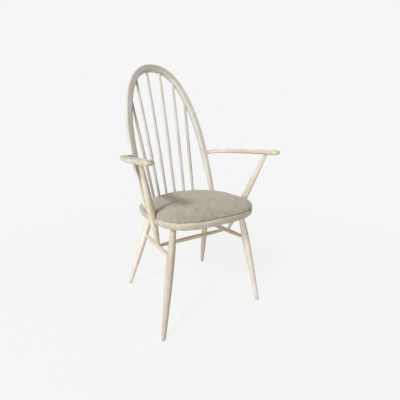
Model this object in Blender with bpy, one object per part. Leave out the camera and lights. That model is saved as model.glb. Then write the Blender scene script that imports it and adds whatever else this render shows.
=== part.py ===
"""Bow-back dining armchair with a fitted seat pad.

Metres, +Z up. The sitter faces -Y. Left and right are those of someone who looks at the chair's
front, so +X is right. Heights are above the floor. Plan positions are given from the middle of the
board's widest line, and at the end one empty moves the whole chair so that the origin lies on the
floor under the middle of its box.

Every piece that enters another has a twin grown by FIT, and that twin cuts the socket, the notch
or the slot. So a socket always follows the piece that it holds.
"""
import math

import bmesh
import bpy
import numpy as np
from mathutils import Vector

# Gap between neighbouring pieces, and how far a twin runs on past a through hole
FIT = 0.0003
RUN_OUT = 0.012

# Plain tenon at the end of a turning, as a multiple of the holder's radius or of the socket's depth
TENON_REACH = 1.4

# Seat board: superellipse plan, one half for the front and one for the back; it drops to the back,
# and its height is that of its top at the widest line
SEAT_HEIGHT = 0.4213
SEAT_PITCH = math.radians(2.9)
SEAT_THICKNESS = 0.029
SEAT_HALF_WIDTH = 0.195
SEAT_FRONT = 0.198
SEAT_REAR = 0.235
SEAT_FRONT_POWER = 3.2
SEAT_REAR_POWER = 2.6
SEAT_TOP_ROUND = 0.005
SEAT_UNDERCUT = 0.017
SEAT_UNDERCUT_RISE = 0.018

# Legs: plan position of the axis at the floor and at the top of the board, then the turning
FRONT_FOOT_X = 0.223
FRONT_FOOT_Y = -0.156
FRONT_LEG_SEAT_X = 0.1405
FRONT_LEG_SEAT_Y = -0.1055
REAR_FOOT_X = 0.204
REAR_FOOT_Y = 0.262
REAR_LEG_SEAT_X = 0.1274
REAR_LEG_SEAT_Y = 0.103
LEG_FOOT_RADIUS = 0.0077
LEG_BELLY_RADIUS = 0.0143
LEG_TENON_RADIUS = 0.0097
LEG_BELLY_HEIGHT = 0.275
FOOT_CHAMFER = 0.0015

# Stretchers
FRONT_STRETCHER_HEIGHT = 0.292
REAR_STRETCHER_HEIGHT = 0.280
SIDE_STRETCHER_RADIUS = 0.0092
CROSS_STRETCHER_RADIUS = 0.0085
STRETCHER_END_RADIUS = 0.0062
CROSS_STRETCHER_Y = 0.004

# Back bow: a hoop in a leaning plane, legs below its spring line and a superellipse arch above
BOW_FOOT_X = 0.159
BOW_FOOT_Y = 0.1013
BOW_LEAN = math.radians(24.5)
BOW_HALF_WIDTH = 0.1628
BOW_SPRING_HEIGHT = 0.580
BOW_TOP_HEIGHT = 0.9513
BOW_ARCH_POWER = 2.3
BOW_HALF_FACE = 0.0128
BOW_HALF_DEPTH = 0.0132
BOW_EDGE_POWER = 4.8
BOW_TENON_RADIUS = 0.0095
BOW_TAPER_LENGTH = 0.300

# Back spindles: plan of the sockets in the board, places along the arch, and the turning
SPINDLE_SEAT_X = (0.0206, 0.0610, 0.0950)
SPINDLE_BOW_X = (0.0297, 0.0845, 0.1250)
SPINDLE_ROW_Y = 0.2058
SPINDLE_ROW_BEND = 4.19
SPINDLE_SOCKET_DEPTH = 0.020
SPINDLE_FOOT_RADIUS = 0.0052
SPINDLE_BELLY_RADIUS = 0.0068
SPINDLE_TOP_RADIUS = 0.0048
SPINDLE_BELLY_SHARE = 0.45

# Arms: a bend in plan from the bow's outer side to the free front end
ARM_REAR_HEIGHT = 0.6005
ARM_FRONT_HEIGHT = 0.6282
ARM_BEND_X = 0.240
ARM_REACH_X = 0.262
ARM_REACH_Y = -0.010
ARM_TIP_X = 0.243
ARM_TIP_Y = -0.183
ARM_REAR_HALF_WIDTH = 0.0105
ARM_HALF_WIDTH = 0.0165
ARM_REAR_HALF_THICKNESS = 0.0083
ARM_HALF_THICKNESS = 0.0091
ARM_EDGE_POWER = 2.7
ARM_FULL_SHARE = 0.7
ARM_TIP_ROUND = 0.020
ARM_TIP_POWER = 2.3
ARM_TIP_WIDTH = 0.34
ARM_TIP_THICKNESS = 0.40

# Arm posts: from a side stretcher, past a notch in the board's edge, up into the arm
POST_FOOT_Y = -0.011
POST_ARM_Y = -0.117
POST_FOOT_RADIUS = 0.0056
POST_BELLY_RADIUS = 0.0130
POST_TENON_RADIUS = 0.0066
POST_TENON_DEPTH = 0.0105

# Wedges in the through tenons
WEDGE_DEPTH = 0.018
WEDGE_THICK_END = 0.0024
WEDGE_THIN_END = 0.0008
WEDGE_END_GAP = 0.0012

# Screws that hold the arms to the bow, and the plugs over their heads
SCREW_RADIUS = 0.0022
SCREW_HEAD_RADIUS = 0.0043
SCREW_HEAD_LENGTH = 0.0035
SCREW_HEAD_RIM = 0.0010
SCREW_POINT_LENGTH = 0.006
SCREW_POINT_RADIUS = 0.0004
SCREW_GRIP = 0.014
PLUG_RADIUS = 0.0048
PLUG_LENGTH = 0.0045

# Seat pad: woven cover with a zip at the back, and the foam inside
PAD_REVEAL = 0.010
PAD_REAR_POWER = 1.85
PAD_BULGE = 0.0105
PAD_SIDE_HEIGHT = 0.024
PAD_CROWN = 0.013
PAD_CROWN_POWER = 2.2
PAD_CLEARANCE = 0.003
PAD_WAIST = 0.003
COVER_THICKNESS = 0.0014
FOAM_CLEARANCE = 0.0010
ZIP_LENGTH = 0.240
ZIP_SEAM = COVER_THICKNESS

# Facets
TURNED_SIDES = 16
SPINDLE_SIDES = 12
SECTION_POINTS = 16
SEAT_POINTS = 64
PAD_POINTS = 36
BOW_RINGS = 52
ARM_RINGS = 18
TAPER_STEPS = 5
UNDERCUT_STEPS = 4
ROUND_STEPS = 3
PAD_SIDE_STEPS = 6
ARM_TIP_STEPS = (0.45, 0.75, 0.92, 1.0)
CROWN_SHARES = (0.93, 0.80, 0.60, 0.36, 0.12)
PAD_POST_STEPS = (-2.4, -1.6, -0.8, 0.0, 0.8, 1.6, 2.4)
PAD_POST_REACH = 3.2
PAD_SMOOTH = 80.0
FINE_STEPS = 4000

SIDES = (("left", -1.0), ("right", 1.0))

for old in list(bpy.data.objects):
    bpy.data.objects.remove(old, do_unlink=True)

chair = bpy.data.objects.new("chair", None)
bpy.context.scene.collection.objects.link(chair)


def finish(name, colour, roughness, metallic=0.0):
    """A Principled material of one plain colour, given in linear light."""
    material = bpy.data.materials.new(name)
    material.use_nodes = True
    shader = material.node_tree.nodes["Principled BSDF"]
    shader.inputs["Base Color"].default_value = (*colour, 1.0)
    shader.inputs["Roughness"].default_value = roughness
    shader.inputs["Metallic"].default_value = metallic
    material.diffuse_color = (*colour, 1.0)
    return material


BEECH = finish("bleached_beech", (0.67, 0.60, 0.45), 0.55)
ELM = finish("bleached_elm", (0.66, 0.58, 0.43), 0.55)
WEDGE_WOOD = finish("wedge_wood", (0.52, 0.42, 0.28), 0.60)
STEEL = finish("screw_steel", (0.60, 0.60, 0.60), 0.35, 1.0)
LINEN = finish("taupe_weave", (0.43, 0.39, 0.32), 0.95)
FOAM = finish("pad_foam", (0.80, 0.76, 0.62), 0.90)
ZIP = finish("zip_tape", (0.36, 0.33, 0.28), 0.80)


def loft(name, rings, material, place=(0.0, 0.0, 0.0), smooth_below=40.0, triangles=False):
    """A closed body through rings of equal length, with a flat cap on the first and the last."""
    rings = np.asarray(rings, dtype=float) - np.asarray(place, dtype=float)
    count, points = rings.shape[:2]
    shape = bmesh.new()
    corners = [[shape.verts.new(point) for point in ring] for ring in rings]
    for lower, upper in zip(corners, corners[1:]):
        for k in range(points):
            shape.faces.new((lower[k - 1], lower[k], upper[k], upper[k - 1]))
    shape.faces.new(corners[0][::-1])
    shape.faces.new(corners[count - 1])
    bmesh.ops.recalc_face_normals(shape, faces=shape.faces)
    if triangles:
        bmesh.ops.triangulate(shape, faces=shape.faces, quad_method="FIXED", ngon_method="BEAUTY")
    mesh = bpy.data.meshes.new(name)
    shape.to_mesh(mesh)
    shape.free()
    mesh.materials.append(material)
    mesh.shade_smooth()
    mesh.set_sharp_from_angle(angle=math.radians(smooth_below))
    piece = bpy.data.objects.new(name, mesh)
    piece.location = place
    piece.parent = chair
    bpy.context.scene.collection.objects.link(piece)
    return piece


def as_cutter(twin):
    """Hide a grown twin: it only shapes the pieces that it cuts."""
    twin.hide_render = True
    twin.display_type = "WIRE"
    return twin


def cut(piece, twins):
    """Take the grown twins out of a piece."""
    for twin in twins:
        step = piece.modifiers.new(twin.name, "BOOLEAN")
        step.operation = "DIFFERENCE"
        step.solver = "EXACT"
        step.object = twin


def circle(points):
    """Unit circle as an array of (cosine, sine)."""
    angle = 2.0 * math.pi * np.arange(points) / points
    return np.stack([np.cos(angle), np.sin(angle)], axis=1)


def superellipse(points, power):
    """Unit superellipse: power 2 is a circle, more is squarer."""
    unit = circle(points)
    return np.sign(unit) * np.abs(unit) ** (2.0 / power)


def double_taper(length, start, belly, end, belly_at, plain_start=0.0, plain_end=0.0):
    """Distances and radii of a turning: plain ends and quarter sine swells up to the belly."""
    rise = np.linspace(0.0, 1.0, TAPER_STEPS + 1)
    swell = np.sin(0.5 * math.pi * rise)
    first = plain_start + (belly_at - plain_start) * rise
    second = belly_at + (length - plain_end - belly_at) * rise[1:]
    distance = np.concatenate([first, second])
    radius = np.concatenate([start + (belly - start) * swell, end + (belly - end) * swell[-2::-1]])
    if plain_start > 0.0:
        distance = np.insert(distance, 0, 0.0)
        radius = np.insert(radius, 0, start)
    if plain_end > 0.0:
        distance = np.append(distance, length)
        radius = np.append(radius, end)
    return distance, radius


def turned(name, start, end, turning, material, sides=TURNED_SIDES, grow=0.0):
    """Revolve a turning about the line from start to end; grow adds to the radii and both ends."""
    start = Vector(start)
    axis = (Vector(end) - start).normalized()
    distance, radius = np.array(turning[0]), np.array(turning[1]) + grow
    distance[0] -= grow
    distance[-1] += grow
    unit = circle(sides)
    rings = np.zeros((len(distance), sides, 3))
    rings[:, :, :2] = radius[:, None, None] * unit
    rings[:, :, 2] = distance[:, None]
    piece = loft(name, rings, material)
    piece.location = start
    piece.rotation_mode = "QUATERNION"
    piece.rotation_quaternion = axis.to_track_quat("Z", "Y")
    return as_cutter(piece) if grow else piece


def turned_with_twin(name, start, end, turning, material, sides=TURNED_SIDES):
    """A turned piece and the grown twin that cuts its sockets."""
    piece = turned(name, start, end, turning, material, sides)
    return piece, turned(name + "_twin", start, end, turning, material, sides, FIT)


def between(low, high, share):
    """Point at a share of the way from low to high."""
    return np.asarray(low, dtype=float) + (np.asarray(high) - np.asarray(low)) * share


def mirrored(point, sign):
    """The point on the chair's right side, or its mirror image on the left."""
    return np.asarray(point, dtype=float) * np.array([sign, 1.0, 1.0])


def resample(path, stations):
    """Points at the given lengths along a finely stepped path."""
    steps = np.linalg.norm(np.diff(path, axis=0), axis=1)
    along = np.concatenate([[0.0], np.cumsum(steps)])
    return np.stack([np.interp(stations, along, path[:, k]) for k in range(path.shape[1])], axis=1)


def path_length(path):
    """Length of a finely stepped path."""
    return float(np.linalg.norm(np.diff(path, axis=0), axis=1).sum())


# Seat board


def seat_top(y):
    """Height of the board's top at a place along Y."""
    return SEAT_HEIGHT - math.tan(SEAT_PITCH) * y


def slide_to_seat(points, axis, lift):
    """Slide points along an axis until they lie a given lift above the plane of the board's top."""
    points = np.asarray(points, dtype=float)
    slope = math.tan(SEAT_PITCH)
    short = SEAT_HEIGHT + lift - points[:, 2:] - slope * points[:, 1:2]
    return points + np.asarray(axis) * short / (axis[2] + slope * axis[1])


def plan_outline(half_width, front, rear, front_power, rear_power):
    """Fine closed outline from the rear centre: a superellipse of its own power ahead and behind."""
    angle = np.linspace(0.0, 2.0 * math.pi, FINE_STEPS + 1) + 0.5 * math.pi
    cosine, sine = np.cos(angle), np.sin(angle)
    power = np.where(sine < 0.0, front_power, rear_power)
    reach = np.where(sine < 0.0, front, rear)
    x = half_width * np.sign(cosine) * np.abs(cosine) ** (2.0 / power)
    y = reach * np.sign(sine) * np.abs(sine) ** (2.0 / power)
    return np.stack([x, y], axis=1)


def outline_at(path, stations):
    """Points of a closed outline and its outward normals at lengths from the rear centre."""
    whole = path_length(path)
    reach = 2.0 * whole / FINE_STEPS
    point = resample(path, stations)
    ahead = resample(path, np.mod(stations + reach, whole))
    tangent = ahead - resample(path, np.mod(stations - reach, whole))
    normal = np.stack([tangent[:, 1], -tangent[:, 0]], axis=1)
    return point, normal / np.linalg.norm(normal, axis=1)[:, None]


SEAT_PLAN = plan_outline(SEAT_HALF_WIDTH, SEAT_FRONT, SEAT_REAR, SEAT_FRONT_POWER, SEAT_REAR_POWER)


def seat_rings():
    """Rings of the board: undercut lower edge, upright rim, rounded upper edge."""
    stations = np.arange(SEAT_POINTS) * path_length(SEAT_PLAN) / SEAT_POINTS
    point, normal = outline_at(SEAT_PLAN, stations)
    under = np.linspace(0.0, 0.5 * math.pi, UNDERCUT_STEPS + 1)
    rise = SEAT_UNDERCUT_RISE * (1.0 - np.cos(under)) - SEAT_THICKNESS
    profile = list(zip(SEAT_UNDERCUT * (1.0 - np.sin(under)), rise))
    profile += [(SEAT_TOP_ROUND * (1.0 - math.cos(t)), -SEAT_TOP_ROUND * (1.0 - math.sin(t)))
                for t in np.linspace(0.0, 0.5 * math.pi, ROUND_STEPS + 1)]
    rings = []
    for inset, lift in profile:
        plan = point - inset * normal
        rings.append(np.column_stack([plan, seat_top(plan[:, 1]) + lift]))
    return rings


seat_board = loft("seat_board", seat_rings(), ELM)

# Legs


def leg_ends(front, sign):
    """Foot and top of a leg's axis, the top in the plane of the board's top."""
    if front:
        foot, seat = (FRONT_FOOT_X, FRONT_FOOT_Y), (FRONT_LEG_SEAT_X, FRONT_LEG_SEAT_Y)
    else:
        foot, seat = (REAR_FOOT_X, REAR_FOOT_Y), (REAR_LEG_SEAT_X, REAR_LEG_SEAT_Y)
    return mirrored((*foot, 0.0), sign), mirrored((*seat, seat_top(seat[1])), sign)


def leg_axis(front, sign, height):
    """Point of a leg's axis at a height above the floor."""
    foot, top = leg_ends(front, sign)
    return between(foot, top, height / top[2])


def level_ring(centre, axis, radius, sides):
    """Level cut through a round bar: an ellipse drawn out along the bar's tilt."""
    tilt = np.array([axis[0], axis[1], 0.0])
    tilt /= np.linalg.norm(tilt)
    across = np.array([-tilt[1], tilt[0], 0.0])
    unit = circle(sides)
    return centre + radius * (unit[:, :1] * tilt / axis[2] + unit[:, 1:] * across)


def leg_rings(front, sign, heights, radii):
    """Level rings of a leg, so that it stands flat on the floor."""
    foot, top = leg_ends(front, sign)
    axis = (top - foot) / np.linalg.norm(top - foot)
    return [level_ring(leg_axis(front, sign, height), axis, radius, TURNED_SIDES)
            for height, radius in zip(heights, radii)]


def leg_turning(height):
    """Heights and radii of a leg from its chamfered foot to the end of its tenon."""
    heights, radii = double_taper(height, LEG_FOOT_RADIUS, LEG_BELLY_RADIUS, LEG_TENON_RADIUS,
                                  LEG_BELLY_HEIGHT, FOOT_CHAMFER, SEAT_THICKNESS + SEAT_TOP_ROUND)
    radii[0] = LEG_FOOT_RADIUS - FOOT_CHAMFER
    return heights, radii


def wedge(name, top, lift, axis, along, half_length, grow=0.0):
    """A wedge driven against axis from a face of the board at top; a grown one runs out of the face."""
    axis, along = np.asarray(axis), np.asarray(along)
    across = np.cross(axis, along)
    rings = []
    run = RUN_OUT if grow else 0.0
    for depth in (WEDGE_DEPTH + grow, -run):
        thickness = WEDGE_THICK_END + (WEDGE_THIN_END - WEDGE_THICK_END) * depth / WEDGE_DEPTH
        half = 0.5 * thickness + grow
        ends = [(-half_length - run, -half), (half_length + run, -half), (half_length + run, half),
                (-half_length - run, half)]
        rings.append([np.asarray(top) - depth * axis + u * along + v * across for u, v in ends])
    if not grow:
        rings[1] = slide_to_seat(rings[1], axis, lift)
    piece = loft(name, rings, WEDGE_WOOD, place=top)
    return as_cutter(piece) if grow else piece


legs = {}
for end, front in (("front", True), ("rear", False)):
    for side, sign in SIDES:
        name = f"{end}_{side}"
        foot, top = leg_ends(front, sign)
        axis = (top - foot) / np.linalg.norm(top - foot)
        rings = leg_rings(front, sign, *leg_turning(top[2]))
        rings[-1] = slide_to_seat(rings[-1], axis, 0.0)
        leg = loft("leg_" + name, rings, BEECH, place=foot)
        tenon = np.full(2, LEG_TENON_RADIUS + FIT)
        reach = (top[2] - SEAT_THICKNESS - RUN_OUT, top[2] + RUN_OUT)
        cut(seat_board, [as_cutter(loft("leg_hole_" + name, leg_rings(front, sign, reach, tenon), BEECH))])
        along = np.cross(axis, (0.0, 1.0, 0.0))
        along /= np.linalg.norm(along)
        half = LEG_TENON_RADIUS - WEDGE_END_GAP
        wedge("leg_wedge_" + name, top, 0.0, axis, along, half)
        cut(leg, [wedge("leg_slot_" + name, top, 0.0, axis, along, half, FIT)])
        legs[name] = leg

# Stretchers


def stretcher_point(sign, y):
    """Point of a side stretcher's axis at a place along Y."""
    front = leg_axis(True, sign, FRONT_STRETCHER_HEIGHT)
    rear = leg_axis(False, sign, REAR_STRETCHER_HEIGHT)
    return between(front, rear, (y - front[1]) / (rear[1] - front[1]))


def stretcher_turning(length, belly, holder):
    """A stretcher swells in the middle; each end is plain for as long as its holder is thick."""
    return double_taper(length, STRETCHER_END_RADIUS, belly, STRETCHER_END_RADIUS, 0.5 * length,
                        TENON_REACH * holder, TENON_REACH * holder)


side_stretchers = {}
for side, sign in SIDES:
    front = leg_axis(True, sign, FRONT_STRETCHER_HEIGHT)
    rear = leg_axis(False, sign, REAR_STRETCHER_HEIGHT)
    turning = stretcher_turning(np.linalg.norm(rear - front), SIDE_STRETCHER_RADIUS, LEG_BELLY_RADIUS)
    stretcher, twin = turned_with_twin("side_stretcher_" + side, front, rear, turning, BEECH)
    cut(legs["front_" + side], [twin])
    cut(legs["rear_" + side], [twin])
    side_stretchers[side] = stretcher

cross_ends = [stretcher_point(sign, CROSS_STRETCHER_Y) for side, sign in SIDES]
cross_turning = stretcher_turning(np.linalg.norm(cross_ends[1] - cross_ends[0]), CROSS_STRETCHER_RADIUS,
                                  SIDE_STRETCHER_RADIUS)
cross_stretcher, cross_twin = turned_with_twin("cross_stretcher", *cross_ends, cross_turning, BEECH)
for side, sign in SIDES:
    cut(side_stretchers[side], [cross_twin])

# Back bow

BOW_FOOT_HEIGHT = seat_top(BOW_FOOT_Y)
BOW_UP = np.array([0.0, math.sin(BOW_LEAN), math.cos(BOW_LEAN)])
BOW_FACE = np.array([0.0, -math.cos(BOW_LEAN), math.sin(BOW_LEAN)])


def bow_point(x, height):
    """Point of the bow's plane at a half width and a height above the floor."""
    y = BOW_FOOT_Y + (height - BOW_FOOT_HEIGHT) * math.tan(BOW_LEAN)
    return np.stack(np.broadcast_arrays(x, y, height), axis=-1).astype(float)


def bow_leg_x(height):
    """Half width of a bow leg: it eases out from the foot to the spring line."""
    share = (BOW_SPRING_HEIGHT - height) / (BOW_SPRING_HEIGHT - BOW_FOOT_HEIGHT)
    return BOW_HALF_WIDTH - (BOW_HALF_WIDTH - BOW_FOOT_X) * share ** 2


def bow_path():
    """Fine centre line of the bow from the left tenon's end over the arch to the right one's."""
    height = np.linspace(BOW_FOOT_HEIGHT - SEAT_THICKNESS, BOW_SPRING_HEIGHT, FINE_STEPS)[:-1]
    leg = bow_point(bow_leg_x(height), height)
    turn = np.linspace(0.0, 0.5 * math.pi, FINE_STEPS)
    arch_x = BOW_HALF_WIDTH * np.cos(turn) ** (2.0 / BOW_ARCH_POWER)
    arch_height = (BOW_TOP_HEIGHT - BOW_SPRING_HEIGHT) * np.sin(turn) ** (2.0 / BOW_ARCH_POWER)
    right = np.concatenate([leg, bow_point(arch_x, BOW_SPRING_HEIGHT + arch_height)])
    return np.concatenate([right * (-1.0, 1.0, 1.0), right[-2::-1]])


def bow_rings(grow=0.0):
    """Rings of the bow: round tenons that grow into a full section with rounded edges."""
    path = bow_path()
    point = resample(path, np.linspace(0.0, path_length(path), BOW_RINGS))
    tangent = np.gradient(point, axis=0)
    tangent /= np.linalg.norm(tangent, axis=1)[:, None]
    outward = np.cross(tangent, BOW_FACE)
    rise = (point[:, 2] - BOW_FOOT_HEIGHT) / math.cos(BOW_LEAN)
    fullness = np.sin(0.5 * math.pi * np.clip(rise / BOW_TAPER_LENGTH, 0.0, 1.0))
    rings = []
    for k in range(BOW_RINGS):
        unit = superellipse(SECTION_POINTS, 2.0 + (BOW_EDGE_POWER - 2.0) * fullness[k])
        half_face = between(BOW_TENON_RADIUS, BOW_HALF_FACE, fullness[k]) + grow
        half_depth = between(BOW_TENON_RADIUS, BOW_HALF_DEPTH, fullness[k]) + grow
        rings.append(point[k] + unit[:, :1] * half_face * outward[k] + unit[:, 1:] * half_depth * BOW_FACE)
    lift = -SEAT_THICKNESS - (RUN_OUT if grow else 0.0)
    for k in (0, BOW_RINGS - 1):
        rings[k] = slide_to_seat(rings[k], tangent[k], lift)
    return rings


back_bow = loft("back_bow", bow_rings(), BEECH, place=bow_point(0.0, BOW_FOOT_HEIGHT))
bow_twin = as_cutter(loft("back_bow_twin", bow_rings(FIT), BEECH))
cut(seat_board, [bow_twin])

for side, sign in SIDES:
    low = BOW_FOOT_HEIGHT - SEAT_THICKNESS
    end = slide_to_seat([mirrored(bow_point(bow_leg_x(low), low), sign)], BOW_UP, -SEAT_THICKNESS)[0]
    half = BOW_TENON_RADIUS - WEDGE_END_GAP
    wedge("bow_wedge_" + side, end, -SEAT_THICKNESS, -BOW_UP, (1.0, 0.0, 0.0), half)
    cut(back_bow, [wedge("bow_slot_" + side, end, -SEAT_THICKNESS, -BOW_UP, (1.0, 0.0, 0.0), half, FIT)])

# Back spindles


def arch_height_at(x):
    """Height of the arch's centre line at a half width."""
    share = (1.0 - (x / BOW_HALF_WIDTH) ** BOW_ARCH_POWER) ** (1.0 / BOW_ARCH_POWER)
    return BOW_SPRING_HEIGHT + (BOW_TOP_HEIGHT - BOW_SPRING_HEIGHT) * share


spindle_places = [(-1.0, 2), (-1.0, 1), (-1.0, 0), (1.0, 0), (1.0, 1), (1.0, 2)]
for number, (sign, row) in enumerate(spindle_places, start=1):
    seat_x, bow_x = SPINDLE_SEAT_X[row], SPINDLE_BOW_X[row]
    seat_y = SPINDLE_ROW_Y - SPINDLE_ROW_BEND * seat_x ** 2
    mouth = mirrored((seat_x, seat_y, seat_top(seat_y)), sign)
    top = mirrored(bow_point(bow_x, arch_height_at(bow_x)), sign)
    foot = mouth - (top - mouth) / np.linalg.norm(top - mouth) * SPINDLE_SOCKET_DEPTH
    length = np.linalg.norm(top - foot)
    turning = double_taper(length, SPINDLE_FOOT_RADIUS, SPINDLE_BELLY_RADIUS, SPINDLE_TOP_RADIUS,
                           SPINDLE_BELLY_SHARE * length, SPINDLE_SOCKET_DEPTH, TENON_REACH * BOW_HALF_FACE)
    spindle, twin = turned_with_twin(f"back_spindle_{number}", foot, top, turning, BEECH, SPINDLE_SIDES)
    cut(seat_board, [twin])
    cut(back_bow, [twin])

# Arms

ARM_ROOT = bow_point(bow_leg_x(BOW_SPRING_HEIGHT), ARM_REAR_HEIGHT)


def arm_path():
    """Fine centre line of the right arm: one cubic bend in plan and a steady rise."""
    t = np.linspace(0.0, 1.0, FINE_STEPS)[:, None]
    bends = ((ARM_ROOT[0], ARM_ROOT[1]), (ARM_BEND_X, ARM_ROOT[1]), (ARM_REACH_X, ARM_REACH_Y),
             (ARM_TIP_X, ARM_TIP_Y))
    weights = ((1 - t) ** 3, 3 * t * (1 - t) ** 2, 3 * t ** 2 * (1 - t), t ** 3)
    plan = sum(weight * np.array(bend) for weight, bend in zip(weights, bends))
    return np.hstack([plan, between(ARM_REAR_HEIGHT, ARM_FRONT_HEIGHT, t)])


def arm_point(y):
    """Point of the right arm's centre line at a place along Y, on its straight front stretch."""
    path = arm_path()[::-1]
    return np.array([np.interp(y, path[:, 1], path[:, k]) for k in range(3)])


def closing_share(tip, last):
    """How much of a section is left towards the tip: a superellipse quadrant down to its last share."""
    return (1.0 - (1.0 - last ** ARM_TIP_POWER) * tip ** ARM_TIP_POWER) ** (1.0 / ARM_TIP_POWER)


def arm_rings(sign):
    """Rings of an arm: it widens from the bow to the post and closes in a rounded end."""
    path = arm_path()
    length = path_length(path)
    even = np.linspace(0.0, length - ARM_TIP_ROUND, ARM_RINGS)
    closing = length - ARM_TIP_ROUND * (1.0 - np.array(ARM_TIP_STEPS))
    along = np.concatenate([even, closing])
    point = resample(path, along)
    tangent = np.gradient(point, along, axis=0)
    tangent /= np.linalg.norm(tangent, axis=1)[:, None]
    across = np.cross(tangent, (0.0, 0.0, 1.0))
    across /= np.linalg.norm(across, axis=1)[:, None]
    upward = np.cross(across, tangent)
    fullness = np.sin(0.5 * math.pi * np.clip(along / (ARM_FULL_SHARE * length), 0.0, 1.0))
    tip = np.clip((along - length + ARM_TIP_ROUND) / ARM_TIP_ROUND, 0.0, 1.0)
    half_width = between(ARM_REAR_HALF_WIDTH, ARM_HALF_WIDTH, fullness) * closing_share(tip, ARM_TIP_WIDTH)
    half_thickness = between(ARM_REAR_HALF_THICKNESS, ARM_HALF_THICKNESS, fullness)
    half_thickness *= closing_share(tip, ARM_TIP_THICKNESS)
    unit = superellipse(SECTION_POINTS, ARM_EDGE_POWER)
    rings = point[:, None, :] + (unit[:, 0] * half_width[:, None])[:, :, None] * across[:, None, :]
    rings = rings + (unit[:, 1] * half_thickness[:, None])[:, :, None] * upward[:, None, :]
    return rings * np.array([sign, 1.0, 1.0])


arms = {}
for side, sign in SIDES:
    arm = loft("arm_" + side, arm_rings(sign), BEECH, place=mirrored(ARM_ROOT, sign))
    cut(arm, [bow_twin])
    arms[side] = arm

# Arm posts


def post_ends():
    """Foot and top of the right post's axis, the top at the depth of its tenon in the arm."""
    foot = stretcher_point(1.0, POST_FOOT_Y)
    arm = arm_point(POST_ARM_Y)
    below = arm - (0.0, 0.0, ARM_HALF_THICKNESS)
    axis = (below - foot) / np.linalg.norm(below - foot)
    return foot, below + axis * POST_TENON_DEPTH


POST_FOOT, POST_TOP = post_ends()
POST_LENGTH = float(np.linalg.norm(POST_TOP - POST_FOOT))
POST_BELLY_AT = POST_LENGTH * (SEAT_HEIGHT - POST_FOOT[2]) / (POST_TOP[2] - POST_FOOT[2])
POST_TURNING = double_taper(POST_LENGTH, POST_FOOT_RADIUS, POST_BELLY_RADIUS, POST_TENON_RADIUS,
                            POST_BELLY_AT, TENON_REACH * SIDE_STRETCHER_RADIUS,
                            TENON_REACH * POST_TENON_DEPTH)
for side, sign in SIDES:
    ends = mirrored(POST_FOOT, sign), mirrored(POST_TOP, sign)
    post, twin = turned_with_twin("arm_post_" + side, *ends, POST_TURNING, BEECH)
    cut(seat_board, [twin])
    cut(arms[side], [twin])
    cut(side_stretchers[side], [twin])

# Arm screws and plugs

for side, sign in SIDES:
    inner_face = ARM_ROOT - (BOW_HALF_FACE, 0.0, 0.0)
    plug_end = inner_face + (PLUG_LENGTH, 0.0, 0.0)
    screw_start = plug_end + (FIT, 0.0, 0.0)
    screw_end = ARM_ROOT + (BOW_HALF_FACE + SCREW_GRIP, 0.0, 0.0)
    plug_turning = (np.array([0.0, PLUG_LENGTH]), np.full(2, PLUG_RADIUS))
    screw_length = screw_end[0] - screw_start[0]
    screw_turning = (np.array([0.0, SCREW_HEAD_RIM, SCREW_HEAD_LENGTH, screw_length - SCREW_POINT_LENGTH,
                               screw_length]),
                     np.array([SCREW_HEAD_RADIUS, SCREW_HEAD_RADIUS, SCREW_RADIUS, SCREW_RADIUS,
                               SCREW_POINT_RADIUS]))
    plug, plug_twin = turned_with_twin("arm_screw_plug_" + side, mirrored(inner_face, sign),
                                       mirrored(plug_end, sign), plug_turning, WEDGE_WOOD)
    screw, screw_twin = turned_with_twin("arm_screw_" + side, mirrored(screw_start, sign),
                                         mirrored(screw_end, sign), screw_turning, STEEL, SPINDLE_SIDES)
    cut(back_bow, [plug_twin, screw_twin])
    cut(arms[side], [screw_twin])

# Seat pad


PAD_REAR = SPINDLE_ROW_Y - SPINDLE_BELLY_RADIUS - PAD_CLEARANCE - PAD_BULGE
PAD_PLAN = plan_outline(SEAT_HALF_WIDTH - PAD_REVEAL, SEAT_FRONT - PAD_REVEAL, PAD_REAR, SEAT_FRONT_POWER,
                        PAD_REAR_POWER)


def pad_stations():
    """Lengths along the pad's outline: even steps, with closer ones beside the two posts."""
    whole = path_length(PAD_PLAN)
    even = np.arange(PAD_POINTS) * whole / PAD_POINTS
    along = np.concatenate([[0.0], np.cumsum(np.linalg.norm(np.diff(PAD_PLAN, axis=0), axis=1))])
    post = between(POST_FOOT, POST_TOP, POST_BELLY_AT / POST_LENGTH)
    beside = np.array(PAD_POST_STEPS) * POST_BELLY_RADIUS
    close = []
    for side, sign in SIDES:
        nearest = along[np.argmin(np.linalg.norm(PAD_PLAN - mirrored(post, sign)[:2], axis=1))]
        close.append(nearest + beside)
        even = even[np.abs(even - nearest) > PAD_POST_REACH * POST_BELLY_RADIUS]
    return np.sort(np.concatenate([even, *close]))


def clear_of_bar(ring, low, high, radius):
    """Press a ring's points in until they clear a leaning round bar and its mirror image."""
    axis = between(low, high, (ring[:, 2:] - low[2]) / (high[2] - low[2]))
    upright = (high[2] - low[2]) / np.linalg.norm(high - low)
    keep = (radius + PAD_CLEARANCE) / upright
    offset = np.abs(ring[:, 1] - axis[:, 1])
    dent = axis[:, 0] - keep * np.cos(0.25 * math.pi * np.clip(offset / keep, 0.0, 2.0)) ** 2
    limit = np.where(offset < 2.0 * keep, dent, np.abs(ring[:, 0]))
    ring[:, 0] = np.sign(ring[:, 0]) * np.minimum(np.abs(ring[:, 0]), limit)
    return ring


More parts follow.
